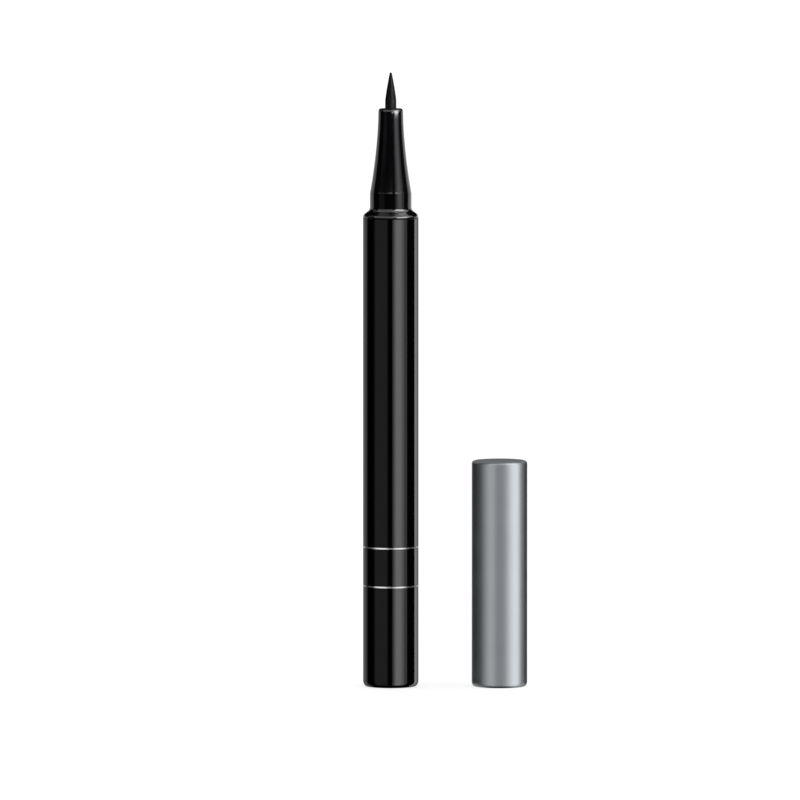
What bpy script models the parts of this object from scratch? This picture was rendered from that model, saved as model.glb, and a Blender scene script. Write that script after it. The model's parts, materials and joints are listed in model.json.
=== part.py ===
"""Felt-tip liquid eyeliner pen, stood on its base with its cap off and stood beside it.

Metres, +Z up. The origin is the centre of the pen's base, on the surface it stands on.
The cap stands at +X, mouth down, and lifts along +Z.
"""

import math

import bmesh
import bpy
from mathutils import Matrix

# Pen barrel
pen_radius = 0.0054
barrel_length = 0.0914
barrel_wall = 0.00085
base_rounding = 0.00065
foot_land = 0.0001
edge_break = 0.00006
bore_step = 0.0002
rib_count = 6
rib_width = 0.0007
rib_gap = 0.0001
rib_lead = 0.002

# Two silver bands let into the barrel
lower_band_height = 0.01965
band_spacing = 0.00755
band_width = 0.00038
band_thickness = 0.00012
band_proud = 0.00001
band_gap = 0.00003

# Clearances between pieces that are pressed, slid or seated together
press_gap = 0.00005
nib_gap = 0.00006
neck_gap = 0.00008

# Nozzle, from its spigot in the barrel up to its lip
spigot_length = 0.009
spigot_relief = 0.0003
spigot_lead = 0.0004
snap_bead_height = 0.00008
snap_bead_width = 0.0008
snap_bead_inset = 0.0022
flange_land = 0.00014
shoulder_width = 0.00139
shoulder_rise = 0.00115
shoulder_rounding = 0.00035
neck_length = 0.0034
neck_root_rounding = 0.0002
neck_step = 0.0001
neck_step_rise = 0.00016
nozzle_wall = 0.00085
cone_length = 0.016
flare_power = 1.9
lip_wall = 0.00065
lip_thickness = 0.0008
lip_rounding = 0.00028

# Nib holder, a flanged tube with webs, pushed into the nozzle from behind
holder_wall = 0.0005
holder_ledge = 0.00025
holder_flange_thickness = 0.0012
web_count = 4
web_thickness = 0.0006
web_relief = 0.0009
vent_width = 0.001
vent_depth = 0.0009

# Felt nib
nib_radius = 0.00101
nib_exposed_length = 0.0072
nib_point_length = 0.005
nib_point_power = 1.12
nib_blunt_radius = 0.0001
nib_blunt_length = 0.00006
nib_tail_chamfer = 0.0002
nib_soak_depth = 0.0053

# Ink reservoir, a fibre core in a film wrap
reservoir_gap = 0.00015
film_thickness = 0.00015

# End plug, with the hollow post that carries the reservoir
plug_seat_depth = 0.009
plug_floor = 0.0012
plug_wall = 0.0008
plug_lead = 0.0003
plug_edge_break = 0.00015
post_height = 0.0154
post_radius = 0.0016
post_wall = 0.0007
post_head_margin = 0.0005
post_head_thickness = 0.0009

# Cap shell
cap_length = 0.0442
cap_wall = 0.00065
cap_top_thickness = 0.0008
cap_top_rounding = 0.0006
cap_mouth_rounding = 0.0006
cap_clear_space = 0.0103

# Inner cap, pressed into the shell, which grips the pen's neck and encloses the nib
liner_recess = 0.0006
liner_wall = 0.0006
liner_lead = 0.0003
liner_collar_margin = 0.0006
liner_grip_bead = 0.00004
liner_bead_width = 0.0004
chamber_side_gap = 0.0007
chamber_headroom = 0.0025
liner_rib_count = 8
liner_rib_width = 0.0006

# Facets round each piece, and straight pieces in a rounding, the cone's flare and the nib's point
outer_facets = 48
inner_facets = 32
nib_facets = 24
rounding_steps = 4
flare_steps = 9
point_steps = 8
sharp_angle = math.radians(30)
cut_overrun = 0.0005
join_depth = 0.0002

# Radii worked out from the sizes above, from the outside in
seat_radius = pen_radius - barrel_wall
core_bore_radius = seat_radius - bore_step
foot_rounding = min(base_rounding, barrel_wall - foot_land)
band_radius = pen_radius + band_proud
band_bore_radius = band_radius - band_thickness
neck_radius = pen_radius - shoulder_width
neck_bore_radius = neck_radius - nozzle_wall
holder_seat_radius = neck_bore_radius + holder_ledge
spigot_bead_radius = seat_radius - press_gap
spigot_radius = spigot_bead_radius - snap_bead_height
nib_bore_radius = nib_radius + nib_gap
holder_radius = nib_bore_radius + holder_wall
lip_bore_radius = holder_radius + press_gap
lip_radius = lip_bore_radius + lip_wall
cone_root_radius = neck_radius - neck_step
wrap_radius = holder_seat_radius - reservoir_gap
core_radius = wrap_radius - film_thickness - press_gap
cap_bore_radius = pen_radius - cap_wall
liner_radius = cap_bore_radius - press_gap
liner_seat_radius = neck_radius + neck_gap
chamber_radius = lip_radius + chamber_side_gap

# Heights on the pen, above the surface it stands on
flange_height = barrel_length + press_gap
holder_height = flange_height - press_gap - holder_flange_thickness
reservoir_top = holder_height - press_gap
reservoir_base = post_height + press_gap
reservoir_length = reservoir_top - reservoir_base
nib_base = reservoir_top - nib_soak_depth

# The nozzle's sloping shoulder, and the share of a rounding's radius that a corner takes along its side
shoulder_slope = math.atan2(shoulder_rise, shoulder_width)
corner_share = (1 - math.sin(shoulder_slope)) / math.cos(shoulder_slope)

# Heights on the nozzle, above the underside of its flange
shoulder_edge = flange_land + shoulder_rounding * corner_share
neck_base = shoulder_edge + shoulder_rise
neck_top = neck_base + neck_length
cone_base = neck_top + neck_step_rise
lip_top = cone_base + cone_length
lip_underside = lip_top - lip_thickness
nib_top = lip_top + nib_exposed_length

# Heights on the cap, above its mouth, and where the mouth stands on the nozzle when the cap is on
mouth_on_nozzle = shoulder_edge + shoulder_rise * cap_wall / shoulder_width + press_gap
liner_seat_top = neck_top - mouth_on_nozzle + liner_collar_margin
chamber_waist = lip_top - mouth_on_nozzle
chamber_top = nib_top - mouth_on_nozzle + chamber_headroom
liner_top = chamber_top + liner_wall
cap_axis_x = 2 * pen_radius + cap_clear_space

# Points closer than this are made one, where a spun outline closes or meets the axis
merge_distance = nib_blunt_length / 6


def clear_scene():
    """Takes every object out of the scene."""
    for found in list(bpy.data.objects):
        bpy.data.objects.remove(found)


def make_collection(name):
    """Adds a collection to the scene and returns it."""
    collection = bpy.data.collections.new(name)
    bpy.context.scene.collection.children.link(collection)
    return collection


def make_material(name, colour, roughness, metallic=0.0):
    """A Principled material of one colour, given as linear red, green and blue."""
    material = bpy.data.materials.new(name)
    material.use_nodes = True
    shader = material.node_tree.nodes["Principled BSDF"]
    shader.inputs["Base Color"].default_value = (*colour, 1.0)
    shader.inputs["Roughness"].default_value = roughness
    shader.inputs["Metallic"].default_value = metallic
    return material


def make_origin(name, x):
    """An empty on an upright axis at x, which the pieces on that axis hang from."""
    origin = bpy.data.objects.new(name, None)
    origin.location = (x, 0, 0)
    parts.objects.link(origin)
    return origin


def arc(centre_radius, centre_height, rounding, start, end):
    """Points of an outline along an arc, from the start angle to the end angle, in degrees from outward."""
    points = []
    for step in range(rounding_steps + 1):
        angle = math.radians(start + (end - start) * step / rounding_steps)
        radius = centre_radius + rounding * math.cos(angle)
        points.append((radius, centre_height + rounding * math.sin(angle)))
    return points


def turned(name, outline, facets, material, origin, height, ring=False):
    """A turned piece: the outline, which runs down its outer side, spun round the axis by a Screw.

    A ring's outline closes on itself. Any other outline starts and ends on the axis.
    """
    last = len(outline) - 1
    edges = [(index, index + 1) for index in range(last)]
    if ring:
        edges.append((last, 0))
    mesh = bpy.data.meshes.new(name)
    mesh.from_pydata([(radius, 0, z) for radius, z in outline], edges, [])
    piece = bpy.data.objects.new(name, mesh)
    screw = piece.modifiers.new("turn", "SCREW")
    screw.steps = facets
    screw.render_steps = facets
    screw.use_merge_vertices = True
    screw.merge_threshold = merge_distance
    piece.parent = origin
    piece.location = (0, 0, height)
    if material:
        mesh.materials.append(material)
        parts.objects.link(piece)
    else:
        hide_helper(piece)
    return piece


def hide_helper(piece):
    """Keeps a cutter or a shape to be joined out of the model itself."""
    helpers.objects.link(piece)
    piece.hide_render = True
    piece.display_type = "WIRE"


def radial_bars(name, count, inner, outer, width, low, high, origin, height, turn=0.0):
    """A helper of equal upright bars set round the axis, from the inner to the outer radius."""
    shape = bmesh.new()
    for index in range(count):
        spin = Matrix.Rotation(turn + math.tau * index / count, 4, "Z")
        place = Matrix.Translation(((inner + outer) / 2, 0, (low + high) / 2))
        size = Matrix.Diagonal((outer - inner, width, high - low, 1))
        bmesh.ops.create_cube(shape, size=1, matrix=spin @ place @ size)
    mesh = bpy.data.meshes.new(name)
    shape.to_mesh(mesh)
    shape.free()
    bars = bpy.data.objects.new(name, mesh)
    bars.parent = origin
    bars.location = (0, 0, height)
    hide_helper(bars)
    return bars


def combine(piece, helper, operation):
    """Joins the helper to the piece, or cuts it from the piece."""
    boolean = piece.modifiers.new(helper.name, "BOOLEAN")
    boolean.operation = operation
    boolean.object = helper


def shade_pieces():
    """Makes each piece a plain mesh, with its round sides shaded smooth and its corners kept sharp."""
    graph = bpy.context.evaluated_depsgraph_get()
    pieces = [found for found in parts.objects if found.type == "MESH"]
    meshes = [bpy.data.meshes.new_from_object(piece.evaluated_get(graph)) for piece in pieces]
    for piece, mesh in zip(pieces, meshes):
        mesh.name = piece.name
        mesh.shade_smooth()
        mesh.set_sharp_from_angle(angle=sharp_angle)
        piece.modifiers.clear()
        piece.data = mesh


def flare_radius(share):
    """The nozzle's outer radius, from 0 at its lip to 1 at the foot of its cone."""
    return lip_radius + (cone_root_radius - lip_radius) * share**flare_power


def groove(height):
    """Outline points of the shallow groove that a silver band lies in."""
    half = band_width / 2 + band_gap
    floor = band_bore_radius - band_gap
    return [
        (pen_radius, height + half),
        (floor, height + half),
        (floor, height - half),
        (pen_radius, height - half),
    ]


def build_barrel():
    """The gloss barrel: a tube with a seat at each end, two band grooves and ribs for the reservoir."""
    spigot_seat = barrel_length - spigot_length - spigot_relief
    outline = [
        (pen_radius - edge_break, barrel_length),
        (pen_radius, barrel_length - edge_break),
        *groove(lower_band_height + band_spacing),
        *groove(lower_band_height),
        *arc(pen_radius - foot_rounding, foot_rounding, foot_rounding, 0, -90),
        (seat_radius, 0),
        (seat_radius, plug_seat_depth),
        (core_bore_radius, plug_seat_depth),
        (core_bore_radius, spigot_seat),
        (seat_radius, spigot_seat),
        (seat_radius, barrel_length),
    ]
    barrel = turned("barrel", outline, outer_facets, barrel_black, pen_origin, 0, ring=True)
    ribs = radial_bars(
        "barrel_ribs",
        rib_count,
        wrap_radius + rib_gap,
        core_bore_radius + join_depth,
        rib_width,
        plug_seat_depth + rib_lead,
        spigot_seat - rib_lead,
        pen_origin,
        0,
    )
    combine(barrel, ribs, "UNION")


def build_band(name, height):
    """One thin silver band, a hair proud of the barrel."""
    half = band_width / 2
    outline = [
        (band_radius, half),
        (band_radius, -half),
        (band_bore_radius, -half),
        (band_bore_radius, half),
    ]
    turned(name, outline, outer_facets, silver_foil, pen_origin, height, ring=True)


def snap_bead(height):
    """Outline points of one low bead round the spigot, which grips the barrel's seat."""
    return [
        (spigot_radius, height + snap_bead_width / 2),
        (spigot_bead_radius, height),
        (spigot_radius, height - snap_bead_width / 2),
    ]


def nozzle_outside():
    """The nozzle's outer side, from the lip down its flared cone, neck, shoulder and spigot."""
    flare_top = lip_top - lip_rounding
    flare = []
    for step in range(1, flare_steps + 1):
        share = step / flare_steps
        flare.append((flare_radius(share), flare_top + (cone_base - flare_top) * share))
    slope = math.degrees(shoulder_slope)
    root_height = neck_base + neck_root_rounding * corner_share
    return [
        *arc(lip_radius - lip_rounding, flare_top, lip_rounding, 90, 0),
        *flare,
        (neck_radius, neck_top),
        *arc(neck_radius + neck_root_rounding, root_height, neck_root_rounding, 180, 270 - slope),
        *arc(pen_radius - shoulder_rounding, flange_land, shoulder_rounding, 90 - slope, 0),
        (pen_radius, edge_break),
        (pen_radius - edge_break, 0),
        (spigot_radius, 0),
        *snap_bead(-snap_bead_inset),
        *snap_bead(-spigot_length + snap_bead_inset),
        (spigot_radius, -spigot_length + spigot_lead),
        (spigot_radius - spigot_lead, -spigot_length),
    ]


def nozzle_inside():
    """The nozzle's inner side, from the spigot's mouth up to the hole in the lip.

    The cone's wall is even until its bore is as narrow as the lip's, and from there the bore is straight.
    """
    lip_share = lip_thickness / cone_length
    cone = []
    for step in range(flare_steps, -1, -1):
        share = lip_share + (1 - lip_share) * step / flare_steps
        radius = max(lip_bore_radius, flare_radius(share) - nozzle_wall)
        cone.append((radius, lip_top - cone_length * share))
    return [
        (holder_seat_radius, -spigot_length),
        (holder_seat_radius, 0),
        (neck_bore_radius, 0),
        (neck_bore_radius, neck_top),
        *cone,
        (nib_bore_radius, lip_underside),
        (nib_bore_radius, lip_top),
    ]


def build_nozzle():
    """The front section, in one moulding: spigot, flange with a sloping shoulder, neck and flared cone."""
    outline = nozzle_outside() + nozzle_inside()
    turned("nozzle", outline, outer_facets, nozzle_black, pen_origin, flange_height, ring=True)


def build_nib_holder():
    """The insert that grips the nib: a tube on a vented flange, with webs that centre it in the neck."""
    top = flange_height + lip_underside - press_gap - holder_height
    flange_radius = holder_seat_radius - press_gap
    outline = [
        (holder_radius, top),
        (holder_radius, holder_flange_thickness),
        (flange_radius, holder_flange_thickness),
        (flange_radius, 0),
        (nib_bore_radius, 0),
        (nib_bore_radius, top),
    ]
    holder = turned("nib_holder", outline, inner_facets, holder_natural, pen_origin, holder_height, ring=True)
    webs = radial_bars(
        "holder_webs",
        web_count,
        nib_bore_radius + holder_wall / 2,
        neck_bore_radius - press_gap,
        web_thickness,
        holder_flange_thickness - join_depth,
        flange_height + neck_top - web_relief - holder_height,
        pen_origin,
        holder_height,
    )
    combine(holder, webs, "UNION")
    vents = radial_bars(
        "holder_vents",
        web_count,
        flange_radius - vent_depth,
        flange_radius + cut_overrun,
        vent_width,
        -cut_overrun,
        holder_flange_thickness + cut_overrun,
        pen_origin,
        holder_height,
        turn=math.pi / web_count,
    )
    combine(holder, vents, "DIFFERENCE")


def build_nib():
    """The felt nib: a fibre rod, ground to a slender point, whose tail reaches into the reservoir."""
    length = flange_height + nib_top - nib_base
    point = []
    for step in range(1, point_steps + 1):
        share = step / point_steps
        radius = nib_blunt_radius + (nib_radius - nib_blunt_radius) * (1 - (1 - share) ** nib_point_power)
        point.append((radius, length - nib_point_length * share))
    outline = [
        (0, length),
        (nib_blunt_radius, length - nib_blunt_length),
        *point,
        (nib_radius, nib_tail_chamfer),
        (nib_radius - nib_tail_chamfer, 0),
        (0, 0),
    ]
    turned("nib", outline, nib_facets, black_felt, pen_origin, nib_base)


def build_reservoir():
    """The ink reservoir: a fibre core with a hole for the nib's tail, inside a tube of film."""
    hole_base = nib_base - press_gap - reservoir_base
    core = [
        (0, hole_base),
        (nib_bore_radius, hole_base),
        (nib_bore_radius, reservoir_length),
        (core_radius, reservoir_length),
        (core_radius, 0),
        (0, 0),
    ]
    turned("reservoir_core", core, inner_facets, inked_fibre, pen_origin, reservoir_base)
    film_bore = wrap_radius - film_thickness
    film = [
        (wrap_radius, reservoir_length),
        (wrap_radius, 0),
        (film_bore, 0),
        (film_bore, reservoir_length),
    ]
    turned("reservoir_film", film, inner_facets, clear_film, pen_origin, reservoir_base, ring=True)


def build_end_plug():
    """The plug that closes the barrel, flush with its base, with a hollow post up to the reservoir."""
    plug_radius = seat_radius - press_gap
    skirt_bore = plug_radius - plug_wall
    skirt_top = plug_seat_depth - press_gap
    head_radius = wrap_radius - post_head_margin
    outline = [
        (0, plug_floor),
        (post_radius - post_wall, plug_floor),
        (post_radius - post_wall, post_height),
        (head_radius, post_height),
        (head_radius, post_height - post_head_thickness),
        (post_radius, post_height - post_head_thickness),
        (post_radius, plug_floor),
        (skirt_bore, plug_floor),
        (skirt_bore, skirt_top),
        (plug_radius - plug_lead, skirt_top),
        (plug_radius, skirt_top - plug_lead),
        (plug_radius, plug_edge_break),
        (plug_radius - plug_edge_break, 0),
        (0, 0),
    ]
    turned("end_plug", outline, inner_facets, plug_black, pen_origin, 0)


def build_cap_shell():
    """The satin silver sleeve, closed and rounded at the top, with a rounded mouth."""
    mouth_rounding = min(cap_mouth_rounding, cap_wall - edge_break)
    ceiling = cap_length - cap_top_thickness
    outline = [
        (0, cap_length),
        *arc(pen_radius - cap_top_rounding, cap_length - cap_top_rounding, cap_top_rounding, 90, 0),
        *arc(pen_radius - mouth_rounding, mouth_rounding, mouth_rounding, 0, -90),
        (cap_bore_radius, 0),
        (cap_bore_radius, ceiling),
        (0, ceiling),
    ]
    turned("cap_shell", outline, outer_facets, satin_silver, cap_origin, 0)


def build_cap_liner():
    """The inner cap: a collar that grips the neck, a ribbed body and a chamber that follows the nozzle."""
    collar_top = liner_seat_top + liner_collar_margin
    body_radius = chamber_radius + liner_wall
    body = [
        (0, liner_top),
        (body_radius - liner_lead, liner_top),
        (body_radius, liner_top - liner_lead),
        (body_radius, chamber_waist),
        (liner_radius, collar_top),
        (liner_radius, liner_recess),
        (0, liner_recess),
    ]
    liner = turned("cap_liner", body, inner_facets, liner_black, cap_origin, 0)
    ribs = radial_bars(
        "liner_ribs",
        liner_rib_count,
        chamber_radius,
        liner_radius * math.cos(math.pi / inner_facets),
        liner_rib_width,
        collar_top - liner_wall,
        liner_top - liner_lead,
        cap_origin,
        0,
    )
    combine(liner, ribs, "UNION")
    bead_height = (liner_recess + liner_seat_top) / 2
    chamber = [
        (0, chamber_top),
        (chamber_radius, chamber_top),
        (chamber_radius, chamber_waist),
        (liner_seat_radius, liner_seat_top),
        (liner_seat_radius, bead_height + liner_bead_width / 2),
        (liner_seat_radius - liner_grip_bead, bead_height),
        (liner_seat_radius, bead_height - liner_bead_width / 2),
        (liner_seat_radius, liner_recess + liner_lead),
        (liner_seat_radius + liner_lead, liner_recess),
        (liner_seat_radius + liner_lead, liner_recess - cut_overrun),
        (0, liner_recess - cut_overrun),
    ]
    cutter = turned("liner_chamber", chamber, inner_facets, None, cap_origin, 0)
    combine(liner, cutter, "DIFFERENCE")


clear_scene()
parts = make_collection("eyeliner")
helpers = make_collection("cutters")
barrel_black = make_material("barrel_black", (0.004, 0.004, 0.0045), 0.1)
nozzle_black = make_material("nozzle_black", (0.004, 0.004, 0.0045), 0.16)
plug_black = make_material("plug_black", (0.01, 0.01, 0.011), 0.4)
liner_black = make_material("liner_black", (0.012, 0.012, 0.013), 0.5)
holder_natural = make_material("holder_natural", (0.62, 0.61, 0.57), 0.45)
silver_foil = make_material("silver_foil", (0.82, 0.83, 0.84), 0.15, metallic=1.0)
satin_silver = make_material("satin_silver", (0.42, 0.43, 0.45), 0.34, metallic=1.0)
black_felt = make_material("black_felt", (0.008, 0.008, 0.009), 0.75)
inked_fibre = make_material("inked_fibre", (0.02, 0.02, 0.022), 0.85)
clear_film = make_material("clear_film", (0.55, 0.56, 0.58), 0.25)

pen_origin = make_origin("pen_origin", 0)
cap_origin = make_origin("cap_origin", cap_axis_x)
build_barrel()
build_band("lower_band", lower_band_height)
build_band("upper_band", lower_band_height + band_spacing)
build_nozzle()
build_nib_holder()
build_nib()
build_reservoir()
build_end_plug()
build_cap_shell()
build_cap_liner()
shade_pieces()
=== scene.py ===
# %% [markdown]
# # A felt-tip eyeliner pen, with its cap off
#
# The pen stands upright on its base, nib up, and its satin cap stands beside it, mouth down. The CAD
# model of the part is the frame: it says where every piece is. This notebook puts finer turned shapes
# and real finishes round that frame, lights them, and points a camera at them.
#
# A cell with words comes before each step. It says what the piece or the finish is on a real pen, how
# it could be made in Blender, and why it is made this way here.

# %% Load the frame
import json
import math

import bpy
import numpy as np
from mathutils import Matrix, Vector

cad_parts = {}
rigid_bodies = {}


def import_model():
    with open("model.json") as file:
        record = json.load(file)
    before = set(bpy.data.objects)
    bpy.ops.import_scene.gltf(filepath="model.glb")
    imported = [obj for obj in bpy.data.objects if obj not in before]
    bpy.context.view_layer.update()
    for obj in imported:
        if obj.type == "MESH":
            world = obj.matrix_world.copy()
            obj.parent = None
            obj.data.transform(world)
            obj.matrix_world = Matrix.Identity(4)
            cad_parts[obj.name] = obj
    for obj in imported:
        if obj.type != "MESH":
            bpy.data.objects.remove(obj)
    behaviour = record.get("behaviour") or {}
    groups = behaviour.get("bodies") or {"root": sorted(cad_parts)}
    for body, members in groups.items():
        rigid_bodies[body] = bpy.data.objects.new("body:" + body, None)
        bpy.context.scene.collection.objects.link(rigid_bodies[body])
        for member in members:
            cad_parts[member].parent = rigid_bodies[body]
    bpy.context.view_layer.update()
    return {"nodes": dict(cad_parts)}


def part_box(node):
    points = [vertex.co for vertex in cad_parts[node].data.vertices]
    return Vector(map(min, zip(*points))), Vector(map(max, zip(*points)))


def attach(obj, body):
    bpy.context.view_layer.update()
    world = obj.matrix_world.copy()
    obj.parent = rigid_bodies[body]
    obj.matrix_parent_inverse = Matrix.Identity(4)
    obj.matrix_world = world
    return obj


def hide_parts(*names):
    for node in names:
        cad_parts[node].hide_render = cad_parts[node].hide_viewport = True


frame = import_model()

MM = 0.001

# %% [markdown]
# ## Where the pen and the cap stand
#
# The frame is measured rather than guessed. The barrel gives the pen's radius and the height of its
# top, and the cap's shell gives the cap's axis and length. The picture has the seam above the barrel
# and the cap's top a fraction of a millimetre lower than the frame has them, and the finer shapes
# follow the picture. Everything below is written in millimetres, as a turner would write it, and turned
# to metres only where a mesh is made.

# %% Measure the frame
SEAM_DROP, CAP_DROP = 0.25, 0.25
barrel_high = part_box("barrel")[1] / MM
shell_low, shell_high = (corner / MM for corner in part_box("cap_shell"))
PEN_RADIUS = barrel_high.x
BARREL_TOP = barrel_high.z - SEAM_DROP
CAP_AXIS = (shell_low.x + shell_high.x) / 2
CAP_RADIUS = (shell_high.x - shell_low.x) / 2
CAP_LENGTH = shell_high.z - CAP_DROP
print(f"pen radius {PEN_RADIUS:.2f}, barrel top {BARREL_TOP:.2f}")
print(f"cap axis {CAP_AXIS:.2f}, cap radius {CAP_RADIUS:.2f}, cap length {CAP_LENGTH:.2f}")

# %% [markdown]
# ## Camera
#
# A slim object photographed for a catalogue is taken from far away with a long lens, so that its sides
# stay parallel. The sag of the silver bands and the narrow look of the cap's flat top show how high the
# camera stands: it looks down by 4 to 5 degrees. An orthographic camera would do, but a real long lens
# keeps the picture true in every other view too. How far away it stands follows from how many
# millimetres the picture shows from side to side.

# %% Place the camera
FRAME_WIDTH = 155.2
LENS = 800
SENSOR = 36
CLIP_NEAR, CLIP_FAR = 0.1, 50.0
CAMERA_ELEVATION = math.radians(4.6)
PICTURE_CENTRE = Vector((1.79, 0, 55.72))

away = Vector((0, -math.cos(CAMERA_ELEVATION), math.sin(CAMERA_ELEVATION)))
distance = FRAME_WIDTH / SENSOR * LENS
camera_data = bpy.data.cameras.new("long_lens")
camera_data.lens = LENS
camera_data.sensor_width = SENSOR
camera_data.clip_start = CLIP_NEAR
camera_data.clip_end = CLIP_FAR
camera = bpy.data.objects.new("camera", camera_data)
camera.location = (PICTURE_CENTRE + away * distance) * MM
camera.rotation_mode = "QUATERNION"
camera.rotation_quaternion = away.to_track_quat("Z", "Y")
bpy.context.scene.collection.objects.link(camera)
bpy.context.scene.camera = camera
print(f"camera {distance / 1000:.2f} m away")

# %% [markdown]
# ## Turned shapes
#
# Every piece of this pen is round. It could be modelled from cylinders, but a turner's way is closer to
# the real moulds: draw half of the section as an outline of radius and height, and spin it round the
# axis. `arc` draws a rounding, which may be taller than it is deep, and `spin` makes the vertices and
# faces. An outline that closes on itself makes a ring, and one that starts and ends on the axis makes a
# solid without a hole.
#
# `held` adds a point near each end of every long straight. Smooth shading spreads a bend over the whole
# of the face beside it. Those points keep the bend inside its rounding, and the reflections straight
# outside it.

# %% Spin an outline round the axis
FACETS = 192
ROUNDING_STEPS = 8
LONG_STRAIGHT, HOLD = 0.6, 0.04
SHARP_ANGLE = math.radians(32)


def arc(radius, height, rounding, start, end, stretch=1.0):
    """Outline points round a centre, between two angles in degrees, where 0 is outward and 90 is up."""
    angles = np.radians(np.linspace(start, end, ROUNDING_STEPS + 1))
    rise = stretch * rounding
    return [(radius + rounding * math.cos(a), height + rise * math.sin(a)) for a in angles]


def held(outline):
    """The outline with one more point close to each end of its long straights."""
    points = [outline[0]]
    for start, end in zip(outline, outline[1:]):
        length = math.dist(start, end)
        if length > LONG_STRAIGHT:
            for share in (HOLD / length, 1 - HOLD / length):
                points.append(tuple(a + (b - a) * share for a, b in zip(start, end)))
        points.append(end)
    return points


def spin(name, outline, axis=0.0, facets=FACETS):
    """A closed object: an outline that runs down its outer side, spun round the upright axis at x."""
    vertices, rings = [], []
    for radius, height in held(outline):
        first = len(vertices)
        if radius == 0:
            vertices.append((axis * MM, 0, height * MM))
            rings.append([first] * facets)
            continue
        for step in range(facets):
            turn = math.tau * step / facets
            x, y = axis + radius * math.cos(turn), radius * math.sin(turn)
            vertices.append((x * MM, y * MM, height * MM))
        rings.append(range(first, first + facets))
    pairs = list(zip(rings, rings[1:]))
    if outline[0][0] > 0:
        pairs.append((rings[-1], rings[0]))
    faces = []
    for upper, lower in pairs:
        for here in range(facets):
            after = (here + 1) % facets
            corners = (upper[here], lower[here], lower[after], upper[after])
            faces.append(list(dict.fromkeys(corners)))
    mesh = bpy.data.meshes.new(name)
    mesh.from_pydata(vertices, [], faces)
    mesh.shade_smooth()
    mesh.set_sharp_from_angle(angle=SHARP_ANGLE)
    piece = bpy.data.objects.new(name, mesh)
    bpy.context.scene.collection.objects.link(piece)
    return piece


def dress(piece, material, body, slot, *nodes):
    """Gives a piece its material and its body, and hides the CAD nodes that it stands for. Its slot is
    not used.
    """
    piece.data.materials.append(material)
    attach(piece, body)
    if nodes:
        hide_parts(*nodes)
    print(f"{piece.name}: {len(piece.data.polygons)} faces on {body}")
    return piece


# %% [markdown]
# ## Materials
#
# A material is a small tree of nodes. `linear` turns a colour, written as sRGB hex, into the linear
# numbers that a renderer adds up. `node` adds one node of any kind, with its settings, its values and
# what is linked into it, so that each finish below reads as a list of what it is made of.

# %% Helpers for materials
# A Mix node has sockets for numbers, vectors and colours under the same names, so colours go by number.
COLOUR_A, COLOUR_B, MIXED = 6, 7, 2
# Most of a noise lies between these two levels.
NOISE_LEVELS = {"From Min": 0.3, "From Max": 0.7}


def linear(code):
    """Linear red, green, blue and alpha of an sRGB hex colour."""
    shares = [int(code[start:start + 2], 16) / 255 for start in (1, 3, 5)]
    return (*(s / 12.92 if s <= 0.04045 else ((s + 0.055) / 1.055) ** 2.4 for s in shares), 1.0)


def node(tree, kind, values=None, links=None, **settings):
    """Adds a node to a tree, with its settings, the values of its sockets and the links into them."""
    made = tree.nodes.new(kind)
    for name, setting in settings.items():
        setattr(made, name, setting)
    for socket, value in (values or {}).items():
        made.inputs[socket].default_value = value
    for socket, source in (links or {}).items():
        tree.links.new(source, made.inputs[socket])
    return made


def empty_material(name):
    """A material with nothing in its tree yet, and that tree."""
    material = bpy.data.materials.new(name)
    material.use_nodes = True
    material.node_tree.nodes.clear()
    return material, material.node_tree


def end_tree(tree, values, links):
    """Ends a material's tree with a Principled shader that has these values and links."""
    shader = node(tree, "ShaderNodeBsdfPrincipled", values, links)
    node(tree, "ShaderNodeOutputMaterial", links={"Surface": shader.outputs["BSDF"]})


# %% [markdown]
# ### Gloss black barrel: ABS moulded against polished steel
#
# The barrel's black is nearly all reflection. ABS has an IOR of 1.54, so it mirrors 4 or 5 hundredths
# of what stands in front of it and much more along its rims. The mould's polish gives a low roughness,
# slow waves two microns high give the reflections a faint wander, and handling leaves soft wipe marks.

# %% Barrel finish
ABS_IOR = 1.54
WAVE_WIDTH, WAVE_DEPTH = 5.0, 0.002
WIPE_WIDTH, WIPE_SQUEEZE = 1.6, 0.12
barrel_black, tree = empty_material("abs_moulded_gloss_black")
place = node(tree, "ShaderNodeTexCoord").outputs["Object"]
waves = node(
    tree, "ShaderNodeTexNoise", {"Scale": 1 / (WAVE_WIDTH * MM), "Detail": 1.0}, {"Vector": place}
)
along = node(tree, "ShaderNodeMapping", {"Scale": (1.0, 1.0, WIPE_SQUEEZE)}, {"Vector": place})
wipes = node(
    tree, "ShaderNodeTexNoise", {"Scale": 1 / (WIPE_WIDTH * MM), "Detail": 4.0},
    {"Vector": along.outputs["Vector"]},
)
rough = node(
    tree, "ShaderNodeMapRange", {"From Min": 0.3, "From Max": 0.8, "To Min": 0.07, "To Max": 0.12},
    {"Value": wipes.outputs[0]},
)
bump = node(
    tree, "ShaderNodeBump", {"Strength": 1.0, "Distance": WAVE_DEPTH * MM}, {"Height": waves.outputs[0]}
)
end_tree(
    tree, {"Base Color": linear("#030304"), "IOR": ABS_IOR},
    {"Roughness": rough.outputs["Result"], "Normal": bump.outputs["Normal"]},
)
print(barrel_black.name)

# %% [markdown]
# ### Nozzle: black polypropylene, moulded with a light satin
#
# The front section is a softer plastic, moulded in one piece in a mould that is less polished. Its IOR
# is 1.49. Its reflections have softer edges than the barrel's, and a fine spark-eroded grain, 0.15 mm
# across, breaks them up a little. The grain is really finer, and is drawn coarser so that it shows.

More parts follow.
